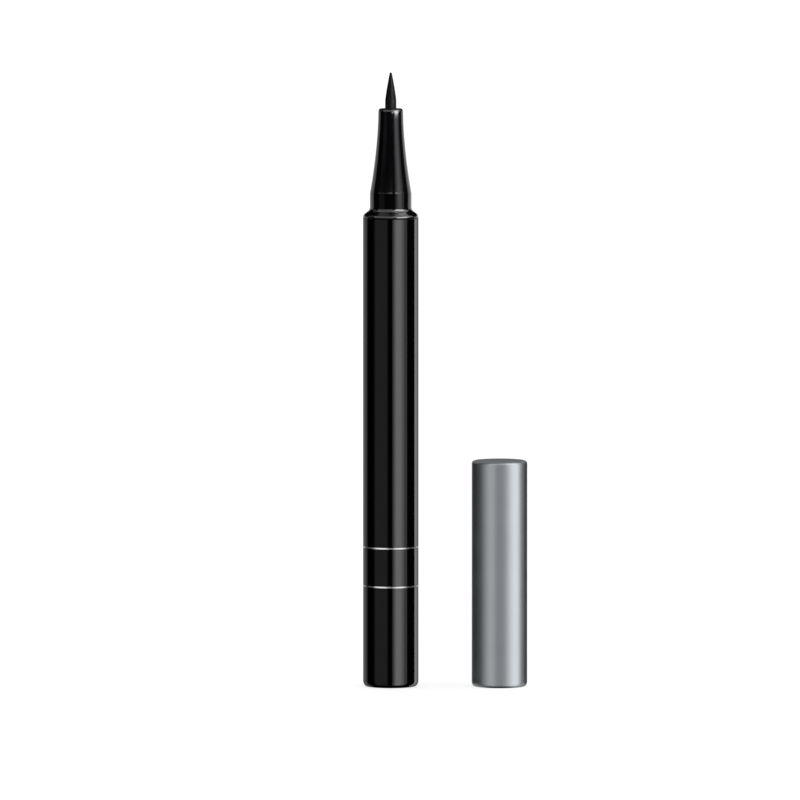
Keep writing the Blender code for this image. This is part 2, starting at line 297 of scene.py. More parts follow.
# %% Nozzle finish
POLYPROPYLENE_IOR = 1.49
GRAIN_WIDTH, GRAIN_DEPTH = 0.15, 0.0012
CLOUD_WIDTH = 2.5
nozzle_black, tree = empty_material("polypropylene_moulded_satin_black")
place = node(tree, "ShaderNodeTexCoord").outputs["Object"]
grain = node(
    tree, "ShaderNodeTexNoise", {"Scale": 1 / (GRAIN_WIDTH * MM), "Detail": 2.0}, {"Vector": place}
)
cloud = node(
    tree, "ShaderNodeTexNoise", {"Scale": 1 / (CLOUD_WIDTH * MM), "Detail": 3.0}, {"Vector": place}
)
rough = node(
    tree, "ShaderNodeMapRange", {**NOISE_LEVELS, "To Min": 0.1, "To Max": 0.14},
    {"Value": cloud.outputs[0]},
)
bump = node(
    tree, "ShaderNodeBump", {"Strength": 1.0, "Distance": GRAIN_DEPTH * MM},
    {"Height": grain.outputs[0]},
)
end_tree(
    tree, {"Base Color": linear("#030304"), "IOR": POLYPROPYLENE_IOR},
    {"Roughness": rough.outputs["Result"], "Normal": bump.outputs["Normal"]},
)
print(nozzle_black.name)

# %% [markdown]
# ### Nib: bonded polyester fibre, soaked in ink
#
# A felt nib is a bundle of fibres that run lengthwise, bonded with resin and ground to a point. Wet ink
# fills it, so it is black with a dull sheen. The fibres are 0.02 mm thick on the real nib and are drawn
# at 0.09 mm, as long streaks in colour, roughness and height.

# %% Nib finish
POLYESTER_IOR = 1.5
FIBRE_WIDTH, FIBRE_SQUEEZE, FIBRE_RELIEF = 0.09, 0.06, 0.012
felt_black, tree = empty_material("polyester_fibre_bonded_inked")
place = node(tree, "ShaderNodeTexCoord").outputs["Object"]
along = node(tree, "ShaderNodeMapping", {"Scale": (1.0, 1.0, FIBRE_SQUEEZE)}, {"Vector": place})
fibres = node(
    tree, "ShaderNodeTexNoise", {"Scale": 1 / (FIBRE_WIDTH * MM), "Detail": 3.0},
    {"Vector": along.outputs["Vector"]},
)
colour = node(
    tree, "ShaderNodeMix", {COLOUR_A: linear("#050506"), COLOUR_B: linear("#101012")},
    {"Factor": fibres.outputs[0]}, data_type="RGBA",
)
rough = node(
    tree, "ShaderNodeMapRange", {**NOISE_LEVELS, "To Min": 0.42, "To Max": 0.62},
    {"Value": fibres.outputs[0]},
)
bump = node(
    tree, "ShaderNodeBump", {"Strength": 1.0, "Distance": FIBRE_RELIEF * MM},
    {"Height": fibres.outputs[0]},
)
end_tree(
    tree, {"IOR": POLYESTER_IOR},
    {
        "Base Color": colour.outputs[MIXED], "Roughness": rough.outputs["Result"],
        "Normal": bump.outputs["Normal"],
    },
)
print(felt_black.name)

# %% [markdown]
# ### Silver bands: hot-stamped foil
#
# The two bands round the barrel are aluminium foil, pressed on by a hot die. Foil is bright, but the
# lacquer over it and the plastic under it leave it softer than a mirror. Small pits, drawn 0.1 mm
# across, vary its gloss.

# %% Foil finish
PIT_WIDTH = 0.1
silver_foil, tree = empty_material("aluminium_foil_hot_stamped")
place = node(tree, "ShaderNodeTexCoord").outputs["Object"]
pits = node(
    tree, "ShaderNodeTexNoise", {"Scale": 1 / (PIT_WIDTH * MM), "Detail": 2.0}, {"Vector": place}
)
rough = node(
    tree, "ShaderNodeMapRange", {**NOISE_LEVELS, "To Min": 0.28, "To Max": 0.38},
    {"Value": pits.outputs[0]},
)
colour = node(
    tree, "ShaderNodeMix", {COLOUR_A: linear("#D6D7D9"), COLOUR_B: linear("#E6E7E9")},
    {"Factor": pits.outputs[0]}, data_type="RGBA",
)
end_tree(
    tree, {"Metallic": 1.0},
    {"Base Color": colour.outputs[MIXED], "Roughness": rough.outputs["Result"]},
)
print(silver_foil.name)

# %% [markdown]
# ### Cap: aluminium, drawn, blasted and anodised to a satin silver
#
# The cap is a sleeve drawn from sheet. Blasting with fine glass beads takes its shine down to a satin,
# and anodising seals it with a slightly cool, slightly darker skin. The grain is finer than 0.1 mm and
# is drawn at 0.22 mm. The drawing leaves faint lengthwise lines under it.

# %% Cap finish
BLAST_WIDTH, BLAST_DEPTH = 0.22, 0.0025
LINE_WIDTH, LINE_SQUEEZE, LINE_DEPTH = 0.5, 0.02, 0.0008
TINT_WIDTH = 6
satin_aluminium, tree = empty_material("aluminium_blasted_anodised_satin")
place = node(tree, "ShaderNodeTexCoord").outputs["Object"]
grain = node(
    tree, "ShaderNodeTexNoise", {"Scale": 1 / (BLAST_WIDTH * MM), "Detail": 2.0}, {"Vector": place}
)
along = node(tree, "ShaderNodeMapping", {"Scale": (1.0, 1.0, LINE_SQUEEZE)}, {"Vector": place})
lines = node(
    tree, "ShaderNodeTexNoise", {"Scale": 1 / (LINE_WIDTH * MM), "Detail": 3.0},
    {"Vector": along.outputs["Vector"]},
)
cloud = node(
    tree, "ShaderNodeTexNoise", {"Scale": 1 / (TINT_WIDTH * MM), "Detail": 3.0}, {"Vector": place}
)
colour = node(
    tree, "ShaderNodeMix", {COLOUR_A: linear("#C1C5C9"), COLOUR_B: linear("#CBCFD3")},
    {"Factor": cloud.outputs[0]}, data_type="RGBA",
)
rough = node(
    tree, "ShaderNodeMapRange", {**NOISE_LEVELS, "To Min": 0.34, "To Max": 0.38},
    {"Value": lines.outputs[0]},
)
lengthwise = node(
    tree, "ShaderNodeBump", {"Strength": 1.0, "Distance": LINE_DEPTH * MM}, {"Height": lines.outputs[0]}
)
bump = node(
    tree, "ShaderNodeBump", {"Strength": 1.0, "Distance": BLAST_DEPTH * MM},
    {"Height": grain.outputs[0], "Normal": lengthwise.outputs["Normal"]},
)
end_tree(
    tree, {"Metallic": 1.0},
    {
        "Base Color": colour.outputs[MIXED], "Roughness": rough.outputs["Result"],
        "Normal": bump.outputs["Normal"],
    },
)
print(satin_aluminium.name)

# %% [markdown]
# ### End plug and inner cap: black polypropylene, moulded matt
#
# Two pieces that nobody is meant to look at: the plug in the barrel's foot, and the inner cap that
# seals on the neck. Both come from a spark-eroded mould, whose grain, drawn 0.2 mm across, makes the
# plastic matt.

# %% Matt plastic finish
SPARK_WIDTH, SPARK_DEPTH = 0.2, 0.006
matt_black, tree = empty_material("polypropylene_moulded_matt_black")
place = node(tree, "ShaderNodeTexCoord").outputs["Object"]
grain = node(
    tree, "ShaderNodeTexNoise", {"Scale": 1 / (SPARK_WIDTH * MM), "Detail": 3.0}, {"Vector": place}
)
rough = node(
    tree, "ShaderNodeMapRange", {**NOISE_LEVELS, "To Min": 0.45, "To Max": 0.6},
    {"Value": grain.outputs[0]},
)
bump = node(
    tree, "ShaderNodeBump", {"Strength": 1.0, "Distance": SPARK_DEPTH * MM},
    {"Height": grain.outputs[0]},
)
end_tree(
    tree, {"Base Color": linear("#161618"), "IOR": POLYPROPYLENE_IOR},
    {"Roughness": rough.outputs["Result"], "Normal": bump.outputs["Normal"]},
)
print(matt_black.name)

# %% [markdown]
# ### Inside pen and cap: nib holder, ink core, its film and the inner cap
#
# These keep their CAD shapes, because barrel, nozzle and cap hide them. The holder is natural
# polypropylene, milky and a little cloudy. The core is fibre wadding, dark with ink and streaked
# lengthwise. The film round it is thin and smooth, with faint creases. The inner cap is matt black, as
# above.

# %% Finishes for the hidden pieces
MILK_WIDTH = 1.5
WADDING_WIDTH, WADDING_SQUEEZE = 0.15, 0.05
CREASE_WIDTH, CREASE_DEPTH = 1.2, 0.01
holder_natural, tree = empty_material("polypropylene_moulded_natural")
place = node(tree, "ShaderNodeTexCoord").outputs["Object"]
cloud = node(
    tree, "ShaderNodeTexNoise", {"Scale": 1 / (MILK_WIDTH * MM), "Detail": 3.0}, {"Vector": place}
)
colour = node(
    tree, "ShaderNodeMix", {COLOUR_A: linear("#D5D3CA"), COLOUR_B: linear("#E4E2DA")},
    {"Factor": cloud.outputs[0]}, data_type="RGBA",
)
end_tree(tree, {"IOR": POLYPROPYLENE_IOR, "Roughness": 0.4}, {"Base Color": colour.outputs[MIXED]})

inked_wadding, tree = empty_material("polyester_wadding_inked")
place = node(tree, "ShaderNodeTexCoord").outputs["Object"]
along = node(tree, "ShaderNodeMapping", {"Scale": (1.0, 1.0, WADDING_SQUEEZE)}, {"Vector": place})
fibres = node(
    tree, "ShaderNodeTexNoise", {"Scale": 1 / (WADDING_WIDTH * MM), "Detail": 4.0},
    {"Vector": along.outputs["Vector"]},
)
colour = node(
    tree, "ShaderNodeMix", {COLOUR_A: linear("#0C0C0F"), COLOUR_B: linear("#2A2A30")},
    {"Factor": fibres.outputs[0]}, data_type="RGBA",
)
end_tree(tree, {"IOR": POLYESTER_IOR, "Roughness": 0.8}, {"Base Color": colour.outputs[MIXED]})

core_film, tree = empty_material("polypropylene_film_wrapped")
place = node(tree, "ShaderNodeTexCoord").outputs["Object"]
creases = node(
    tree, "ShaderNodeTexNoise", {"Scale": 1 / (CREASE_WIDTH * MM), "Detail": 2.0}, {"Vector": place}
)
colour = node(
    tree, "ShaderNodeMix", {COLOUR_A: linear("#B9BCC2"), COLOUR_B: linear("#CDD0D6")},
    {"Factor": creases.outputs[0]}, data_type="RGBA",
)
bump = node(
    tree, "ShaderNodeBump", {"Strength": 1.0, "Distance": CREASE_DEPTH * MM},
    {"Height": creases.outputs[0]},
)
end_tree(
    tree, {"IOR": POLYPROPYLENE_IOR, "Roughness": 0.2},
    {"Base Color": colour.outputs[MIXED], "Normal": bump.outputs["Normal"]},
)

hidden_finishes = {
    "nib_holder": holder_natural,
    "reservoir_core": inked_wadding,
    "reservoir_film": core_film,
    "cap_liner": matt_black,
}
for name, material in hidden_finishes.items():
    cad_node = frame["nodes"][name]
    cad_node.data.materials.clear()
    cad_node.data.materials.append(material)
    print(name, "has", material.name)

# %% [markdown]
# ## Barrel
#
# The barrel is a tube with a gloss outside, a rounded foot, and two shallow grooves that the silver
# bands lie in. Its bore is stepped at both ends, for the end plug and for the nozzle's spigot. Spinning
# the whole section at once keeps the rounding of the foot and the lips of the grooves true all the way
# round.

# %% Spin the barrel
BARREL_WALL = 0.85
BORE_STEP = 0.2
FOOT_ROUNDING, FOOT_STRETCH = 0.8, 1.35
EDGE_BREAK = 0.06
PLUG_DEPTH = 9.0
SPIGOT_DEPTH = 9.3
BAND_HEIGHTS = (19.65, 27.2)
GROOVE_HALF_WIDTH = 0.22
GROOVE_DEPTH = 0.14
seat_radius = PEN_RADIUS - BARREL_WALL
core_bore = seat_radius - BORE_STEP

barrel_outline = [(seat_radius, BARREL_TOP)]
barrel_outline += arc(PEN_RADIUS - EDGE_BREAK, BARREL_TOP - EDGE_BREAK, EDGE_BREAK, 90, 0)
for height in reversed(BAND_HEIGHTS):
    barrel_outline += [
        (PEN_RADIUS, height + GROOVE_HALF_WIDTH),
        (PEN_RADIUS - GROOVE_DEPTH, height + GROOVE_HALF_WIDTH),
        (PEN_RADIUS - GROOVE_DEPTH, height - GROOVE_HALF_WIDTH),
        (PEN_RADIUS, height - GROOVE_HALF_WIDTH),
    ]
foot_height = FOOT_ROUNDING * FOOT_STRETCH
barrel_outline += arc(PEN_RADIUS - FOOT_ROUNDING, foot_height, FOOT_ROUNDING, 0, -90, FOOT_STRETCH)
barrel_outline += [
    (seat_radius, 0),
    (seat_radius, PLUG_DEPTH),
    (core_bore, PLUG_DEPTH),
    (core_bore, BARREL_TOP - SPIGOT_DEPTH),
    (seat_radius, BARREL_TOP - SPIGOT_DEPTH),
]
barrel = dress(spin("gloss_barrel", barrel_outline), barrel_black, "pen", "barrel_black", "barrel")

# %% [markdown]
# ## Silver bands
#
# Each band is a foil line a third of a millimetre wide. It stands a hundredth of a millimetre proud of
# the barrel, and its edges are rounded, so that it catches the light as a fine bright line.

# %% Spin the bands
BAND_HALF_WIDTH = 0.16
BAND_PROUD = 0.01
BAND_THICKNESS = 0.12
BAND_EDGE = 0.04
band_radius = PEN_RADIUS + BAND_PROUD
band_pieces = []
for name, height in zip(("lower", "upper"), BAND_HEIGHTS):
    outline = arc(band_radius - BAND_EDGE, height + BAND_HALF_WIDTH - BAND_EDGE, BAND_EDGE, 90, 0)
    outline += arc(band_radius - BAND_EDGE, height - BAND_HALF_WIDTH + BAND_EDGE, BAND_EDGE, 0, -90)
    outline += [
        (band_radius - BAND_THICKNESS, height - BAND_HALF_WIDTH),
        (band_radius - BAND_THICKNESS, height + BAND_HALF_WIDTH),
    ]
    piece = spin(f"{name}_foil_band", outline)
    band_pieces.append(dress(piece, silver_foil, "pen", "silver_foil", f"{name}_band"))

# %% [markdown]
# ## Nozzle
#
# The front section is one moulding: a spigot pressed into the barrel, a flange with a sloping shoulder,
# the neck that the cap grips, and a cone that narrows in a slow curve to a rounded lip. Small roundings
# at the shoulder's edge, the neck's root and the lip matter most, because on black plastic only edges
# and curves catch the light. The ledge that the nib holder sits under stays where the frame has it.

# %% Spin the nozzle
PRESS_GAP = 0.05
FLANGE_HEIGHT = BARREL_TOP + PRESS_GAP
FLANGE_LAND = 0.07
SHOULDER_WIDTH, SHOULDER_RISE, SHOULDER_ROUNDING = 1.34, 1.05, 0.8
NECK_LENGTH = 3.27
ROOT_ROUNDING = 1.2
STEP_IN, STEP_RISE = 0.05, 0.18
CONE_LENGTH = 16.2
FLARE_POWER = 1.7
FLARE_STEPS = 48
LIP_RADIUS, LIP_ROUNDING, LIP_STRETCH, LIP_THICKNESS = 2.43, 0.4, 1.6, 0.8
NOZZLE_WALL = 0.85
LIP_BORE, NIB_HOLE = 1.62, 1.14
HOLDER_SEAT, HOLDER_LEDGE = 3.41, FLANGE_HEIGHT + SEAM_DROP
SPIGOT_LENGTH, SPIGOT_LEAD = 9.0, 0.4
SPIGOT_RADIUS, BEAD_RADIUS, BEAD_INSET, BEAD_HALF = 4.42, 4.5, 2.2, 0.4

slope = math.atan2(SHOULDER_RISE, SHOULDER_WIDTH)
corner_share = (1 - math.sin(slope)) / math.cos(slope)
neck_radius = PEN_RADIUS - SHOULDER_WIDTH
neck_base = FLANGE_HEIGHT + FLANGE_LAND + SHOULDER_ROUNDING * corner_share + SHOULDER_RISE
neck_top = neck_base + NECK_LENGTH
cone_base = neck_top + STEP_RISE
cone_root = neck_radius - STEP_IN
lip_top = cone_base + CONE_LENGTH
flare_top = lip_top - LIP_ROUNDING * LIP_STRETCH
print(f"neck from {neck_base:.2f} to {neck_top:.2f}, lip at {lip_top:.2f}")


def flare(share):
    """The cone's outer radius at a share of its length, where 0 is the lip and 1 is the foot."""
    return LIP_RADIUS + (cone_root - LIP_RADIUS) * share ** FLARE_POWER


nozzle_outline = [(NIB_HOLE, lip_top)]
nozzle_outline += arc(LIP_RADIUS - LIP_ROUNDING, flare_top, LIP_ROUNDING, 90, 0, LIP_STRETCH)
for step in range(1, FLARE_STEPS + 1):
    share = step / FLARE_STEPS
    nozzle_outline.append((flare(share), flare_top + (cone_base - flare_top) * share))
tilt = math.degrees(slope)
nozzle_outline += [(neck_radius, neck_top)]
nozzle_outline += arc(
    neck_radius + ROOT_ROUNDING, neck_base + ROOT_ROUNDING * corner_share,
    ROOT_ROUNDING, 180, 270 - tilt,
)
nozzle_outline += arc(
    PEN_RADIUS - SHOULDER_ROUNDING, FLANGE_HEIGHT + FLANGE_LAND, SHOULDER_ROUNDING, 90 - tilt, 0
)
nozzle_outline += [
    (PEN_RADIUS, FLANGE_HEIGHT + EDGE_BREAK),
    (PEN_RADIUS - EDGE_BREAK, FLANGE_HEIGHT),
    (SPIGOT_RADIUS, FLANGE_HEIGHT),
]
for bead in (FLANGE_HEIGHT - BEAD_INSET, FLANGE_HEIGHT - SPIGOT_LENGTH + BEAD_INSET):
    nozzle_outline += [
        (SPIGOT_RADIUS, bead + BEAD_HALF), (BEAD_RADIUS, bead), (SPIGOT_RADIUS, bead - BEAD_HALF)
    ]
spigot_end = FLANGE_HEIGHT - SPIGOT_LENGTH
nozzle_outline += [
    (SPIGOT_RADIUS, spigot_end + SPIGOT_LEAD), (SPIGOT_RADIUS - SPIGOT_LEAD, spigot_end),
    (HOLDER_SEAT, spigot_end), (HOLDER_SEAT, HOLDER_LEDGE),
    (neck_radius - NOZZLE_WALL, HOLDER_LEDGE), (neck_radius - NOZZLE_WALL, neck_top),
]
lip_share = LIP_THICKNESS / CONE_LENGTH
for step in range(FLARE_STEPS, -1, -1):
    share = lip_share + (1 - lip_share) * step / FLARE_STEPS
    nozzle_outline.append((max(LIP_BORE, flare(share) - NOZZLE_WALL), lip_top - CONE_LENGTH * share))
nozzle_outline.append((NIB_HOLE, lip_top - LIP_THICKNESS))
nozzle = dress(spin("satin_nozzle", nozzle_outline), nozzle_black, "pen", "nozzle_black", "nozzle")

# %% [markdown]
# ## Felt nib
#
# A nib is cut from bonded fibre rod and ground to a slender point. A smooth cone would look moulded, so
# the surface is let down between its fibres: each column of points is moved in by a few microns, by an
# amount that wanders slowly along the nib. The grinding smooths that away towards the tip.

# %% Spin the nib and let its fibres show
NIB_WEAR = 0.28
NIB_RADIUS, NIB_BLUNT_RADIUS, NIB_BLUNT = 1.09, 0.19, 0.12
POINT_LENGTH, POINT_POWER = 5.45, 1.2
NIB_TAIL_RADIUS, NIB_TAIL_CHAMFER = 1.01, 0.2
NIB_FACETS = 144
NIB_ROWS, ROD_ROWS = 60, 9
BEVEL_RADIUS_SHARE, BEVEL_DROP_SHARE = 0.7, 0.35
nib_low, nib_high = (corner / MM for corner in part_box("nib"))
nib_top = nib_high.z - NIB_WEAR
nib_outline = [
    (0, nib_top),
    (NIB_BLUNT_RADIUS * BEVEL_RADIUS_SHARE, nib_top - NIB_BLUNT * BEVEL_DROP_SHARE),
    (NIB_BLUNT_RADIUS, nib_top - NIB_BLUNT),
]
for step in range(1, NIB_ROWS + 1):
    share = step / NIB_ROWS
    radius = NIB_BLUNT_RADIUS + (NIB_RADIUS - NIB_BLUNT_RADIUS) * (1 - (1 - share) ** POINT_POWER)
    nib_outline.append((radius, nib_top - POINT_LENGTH * share))
held_from = lip_top - LIP_THICKNESS
for height in np.linspace(nib_top - POINT_LENGTH, held_from, ROD_ROWS + 1)[1:]:
    nib_outline.append((NIB_RADIUS, height))
nib_outline += [
    (NIB_TAIL_RADIUS, held_from - NIB_TAIL_CHAMFER), (NIB_TAIL_RADIUS, nib_low.z + NIB_TAIL_CHAMFER),
    (NIB_TAIL_RADIUS - NIB_TAIL_CHAMFER, nib_low.z), (0, nib_low.z),
]
nib = spin("felt_nib", nib_outline, facets=NIB_FACETS)

FIBRE_SEED, FIBRE_WAVES = 7, 9
FEWEST_RIDGES, MOST_RIDGES, RIDGE_LEAN = 18, 60, 0.25
FIBRE_DEPTH, FIBRE_LEVEL = 0.012, 0.5
chance = np.random.default_rng(FIBRE_SEED)
waves = [
    (
        chance.integers(FEWEST_RIDGES, MOST_RIDGES), chance.uniform(0, math.tau),
        chance.uniform(-RIDGE_LEAN, RIDGE_LEAN),
    )
    for _ in range(FIBRE_WAVES)
]
for vertex in nib.data.vertices:
    x, y, z = vertex.co / MM
    radius = math.hypot(x, y)
    if radius < NIB_BLUNT_RADIUS:
        continue
    angle = math.atan2(y, x)
    level = sum(math.sin(count * angle + start + lean * z) for count, start, lean in waves) / len(waves)
    depth = FIBRE_DEPTH * (FIBRE_LEVEL + level) * min(1.0, radius / NIB_RADIUS)
    scale = 1 - max(0.0, depth) / radius
    vertex.co.x *= scale
    vertex.co.y *= scale
dress(nib, felt_black, "pen", "black_felt", "nib")

# %% [markdown]
# ## End plug
#
# The plug closes the barrel, flush with its foot, and its hollow post carries the ink core. The
# underside shows the small dimple that a mould's gate leaves, sunk so that the pen still stands flat.

# %% Spin the end plug
PLUG_RADIUS, PLUG_TOP = seat_radius - PRESS_GAP, PLUG_DEPTH - PRESS_GAP
PLUG_FLOOR, PLUG_WALL, PLUG_LEAD, PLUG_EDGE = 1.2, 0.8, 0.3, 0.15
POST_RADIUS, POST_WALL, POST_HEIGHT, POST_HEAD, POST_HEAD_RADIUS = 1.6, 0.7, 15.4, 0.9, 2.76
GATE_RADIUS, GATE_DEPTH, GATE_SLOPE, NUB_RADIUS = 0.8, 0.2, 0.1, 0.25
NUB_RADIUS_SHARE, NUB_EDGE_SHARE, NUB_TOP_SHARE = 0.6, 0.5, 0.45
plug_outline = [
    (0, PLUG_FLOOR), (POST_RADIUS - POST_WALL, PLUG_FLOOR), (POST_RADIUS - POST_WALL, POST_HEIGHT),
    (POST_HEAD_RADIUS, POST_HEIGHT), (POST_HEAD_RADIUS, POST_HEIGHT - POST_HEAD),
    (POST_RADIUS, POST_HEIGHT - POST_HEAD), (POST_RADIUS, PLUG_FLOOR),
    (PLUG_RADIUS - PLUG_WALL, PLUG_FLOOR), (PLUG_RADIUS - PLUG_WALL, PLUG_TOP),
    (PLUG_RADIUS - PLUG_LEAD, PLUG_TOP), (PLUG_RADIUS, PLUG_TOP - PLUG_LEAD),
]
plug_outline += arc(PLUG_RADIUS - PLUG_EDGE, PLUG_EDGE, PLUG_EDGE, 0, -90)
plug_outline += [
    (GATE_RADIUS, 0), (GATE_RADIUS - GATE_SLOPE, GATE_DEPTH), (NUB_RADIUS, GATE_DEPTH),
    (NUB_RADIUS * NUB_RADIUS_SHARE, GATE_DEPTH * NUB_EDGE_SHARE), (0, GATE_DEPTH * NUB_TOP_SHARE),
]
plug = dress(spin("barrel_plug", plug_outline), matt_black, "pen", "plug_black", "end_plug")

# %% [markdown]
# ## Cap
#
# The cap is a sleeve, closed by a flat top whose edge is rounded just enough to catch a line of light,
# with its mouth rolled in a little. It's the same width as the barrel, so that the closed pen is one
# smooth rod.

# %% Spin the cap
CAP_WALL, CAP_TOP = 0.65, 0.8
TOP_ROUNDING, MOUTH_ROUNDING, MOUTH_STRETCH = 0.6, 0.6, 1.5
cap_outline = [(0, CAP_LENGTH)]
cap_outline += arc(CAP_RADIUS - TOP_ROUNDING, CAP_LENGTH - TOP_ROUNDING, TOP_ROUNDING, 90, 0)
mouth_height = MOUTH_ROUNDING * MOUTH_STRETCH
cap_outline += arc(CAP_RADIUS - MOUTH_ROUNDING, mouth_height, MOUTH_ROUNDING, 0, -90, MOUTH_STRETCH)
cap_outline += [
    (CAP_RADIUS - CAP_WALL, 0), (CAP_RADIUS - CAP_WALL, CAP_LENGTH - CAP_TOP), (0, CAP_LENGTH - CAP_TOP)
]
cap = dress(
    spin("satin_cap", cap_outline, axis=CAP_AXIS), satin_aluminium, "cap", "satin_silver", "cap_shell"
)

# %% [markdown]
# ## Floor and background
#
# The pair stands on a white sheet that runs out of the picture. Its white comes from what the camera
# alone sees, and not from more light on the pen: a glow is added for camera rays, and the sheet still
# takes the soft shadow of pen and cap. Seen from below, the sheet is clear, so that the underside can
# be looked at. It is left out of reflections, where the world stands for it.

# %% Lay the floor
FLOOR_SIZE = 12.0
FLOOR_DROP = 0.00002
FLOOR_GLOW = 0.7
floor_mesh = bpy.data.meshes.new("floor")
corner = FLOOR_SIZE / 2
floor_mesh.from_pydata(
    [(-corner, -corner, -FLOOR_DROP), (corner, -corner, -FLOOR_DROP),
     (corner, corner, -FLOOR_DROP), (-corner, corner, -FLOOR_DROP)],
    [], [(0, 1, 2, 3)],
)
floor = bpy.data.objects.new("floor", floor_mesh)
bpy.context.scene.collection.objects.link(floor)
floor.visible_glossy = False
floor.visible_transmission = False

floor_white, tree = empty_material("paper_matt_white")
rays = node(tree, "ShaderNodeLightPath")
side = node(tree, "ShaderNodeNewGeometry")
paper = node(tree, "ShaderNodeBsdfDiffuse", {"Color": linear("#D0D0D0")})
level = node(
    tree, "ShaderNodeMath", {1: FLOOR_GLOW}, {0: rays.outputs["Is Camera Ray"]}, operation="MULTIPLY"
)
glow = node(
    tree, "ShaderNodeEmission", {"Color": linear("#FFFFFF")}, {"Strength": level.outputs["Value"]}
)
lit = node(tree, "ShaderNodeAddShader", links={0: paper.outputs["BSDF"], 1: glow.outputs["Emission"]})
clear = node(tree, "ShaderNodeBsdfTransparent")
sheet = node(
    tree, "ShaderNodeMixShader",
    links={0: side.outputs["Backfacing"], 1: lit.outputs["Shader"], 2: clear.outputs["BSDF"]},
)
node(tree, "ShaderNodeOutputMaterial", links={"Surface": sheet.outputs["Shader"]})
floor_mesh.materials.append(floor_white)
print("floor", FLOOR_SIZE, "m across")

# %% [markdown]
# ## World
#
# Camera rays that miss the floor see plain white. Reflections and anything clear see the same white
# behind the pair, low down, where the sheet runs away from the camera: it draws the bright rims on the
# barrel. The rest of the room is black to a reflection, which gives gloss black its depth, and the
# softboxes stand in it. All other light is an even, soft fill.

# %% Set the world
FILL = 0.6
BEHIND_FROM, BEHIND_FULL = 0.95, 0.98
LOW_FROM, LOW_FULL = 0.02, -0.03
world = bpy.data.worlds.new("studio")
bpy.context.scene.world = world
world.use_nodes = True
tree = world.node_tree
tree.nodes.clear()
rays = node(tree, "ShaderNodeLightPath")
heading = node(tree, "ShaderNodeTexCoord").outputs["Generated"]
split = node(tree, "ShaderNodeSeparateXYZ", links={0: heading})
behind = node(
    tree, "ShaderNodeMapRange",
    {"From Min": BEHIND_FROM, "From Max": BEHIND_FULL, "To Min": 0.0, "To Max": 1.0},
    {"Value": split.outputs["Y"]},
)
low = node(
    tree, "ShaderNodeMapRange",
    {"From Min": LOW_FROM, "From Max": LOW_FULL, "To Min": 0.0, "To Max": 1.0},
    {"Value": split.outputs["Z"]},
)
sheet_behind = node(
    tree, "ShaderNodeMath",
    links={0: behind.outputs["Result"], 1: low.outputs["Result"]}, operation="MULTIPLY",
)
mirrored = node(
    tree, "ShaderNodeMath",
    links={0: rays.outputs["Is Glossy Ray"], 1: rays.outputs["Is Transmission Ray"]},
    operation="MAXIMUM",
)
mirrored_white = node(
    tree, "ShaderNodeMath", links={0: mirrored.outputs["Value"], 1: sheet_behind.outputs["Value"]},
    operation="MULTIPLY",
)
white = node(
    tree, "ShaderNodeMath",
    links={0: rays.outputs["Is Camera Ray"], 1: mirrored_white.outputs["Value"]}, operation="MAXIMUM",
)
other = node(tree, "ShaderNodeMath", {0: 1.0}, {1: mirrored.outputs["Value"]}, operation="SUBTRACT")
soft = node(tree, "ShaderNodeMath", {1: FILL}, {0: other.outputs["Value"]}, operation="MULTIPLY")
strength = node(
    tree, "ShaderNodeMath",
    links={0: white.outputs["Value"], 1: soft.outputs["Value"]}, operation="MAXIMUM",
)
sky = node(
    tree, "ShaderNodeBackground", {"Color": linear("#FFFFFF")}, {"Strength": strength.outputs["Value"]}
)
node(tree, "ShaderNodeOutputWorld", links={"Surface": sky.outputs["Background"]})
bpy.context.scene.view_settings.view_transform = "Standard"
print("fill", FILL)

# %% [markdown]
# ## Softboxes
#
# Gloss black shows its lamps and little else, so each lamp is placed by where it is seen in the barrel.
# A softbox at an angle from the camera is mirrored by the strip of barrel that is turned by half that
# angle. Satin metal needs its lamps further round to the side. A studio would light the pen and the cap
# in two exposures. Here each softbox lights only the pieces in its own collection.

# %% Helper for softboxes
LAMP_DISTANCE = 450.0
PEN_CENTRE = Vector((0, 0, 60))
TIP_CENTRE = Vector((0, 0, 100))
CAP_CENTRE = Vector((CAP_AXIS, 0, CAP_LENGTH / 2))


def lit_set(name, *pieces):
    """A collection of the pieces that a softbox lights."""
    chosen = bpy.data.collections.new(name)
    for piece in pieces:
        chosen.objects.link(piece)
    return chosen


def softbox(name, lights, centre, azimuths, elevations, radiance, distance=LAMP_DISTANCE):
    """An area lamp that fills a window of directions, in degrees right of the camera and up."""
    turn, lift = (math.radians(sum(pair) / 2) for pair in (azimuths, elevations))
    wide, tall = (math.radians(pair[1] - pair[0]) for pair in (azimuths, elevations))
    flat = math.cos(lift)
    heading = Vector((math.sin(turn) * flat, -math.cos(turn) * flat, math.sin(lift)))
    lamp = bpy.data.lights.new(name, "AREA")
    lamp.shape = "RECTANGLE"
    lamp.size = 2 * distance * math.tan(wide / 2) * flat * MM
    lamp.size_y = 2 * distance * math.tan(tall / 2) * MM
    lamp.energy = radiance * math.pi * lamp.size * lamp.size_y
    box = bpy.data.objects.new(name, lamp)
    box.location = (centre + heading * distance) * MM
    box.rotation_mode = "QUATERNION"
    box.rotation_quaternion = heading.to_track_quat("Z", "Y")
    box.visible_camera = False
    box.light_linking.receiver_collection = lights
    bpy.context.scene.collection.objects.link(box)
    return box


# %% [markdown]
# ## Light for each piece
#
# Each line below is one softbox: what it lights, the point that it faces, where it stands in degrees
# right of the camera and in degrees up, and how bright a mirror would show it, where 1 is white.
# Plastic mirrors 4 or 5 hundredths of that. Softboxes that lie one inside another give a strip of light
# soft edges. The nozzle has the most, because its shoulder and its roundings look up and back as well
# as forwards. The picture shows no cap in the side of the barrel, so the cap stays out of reflections.

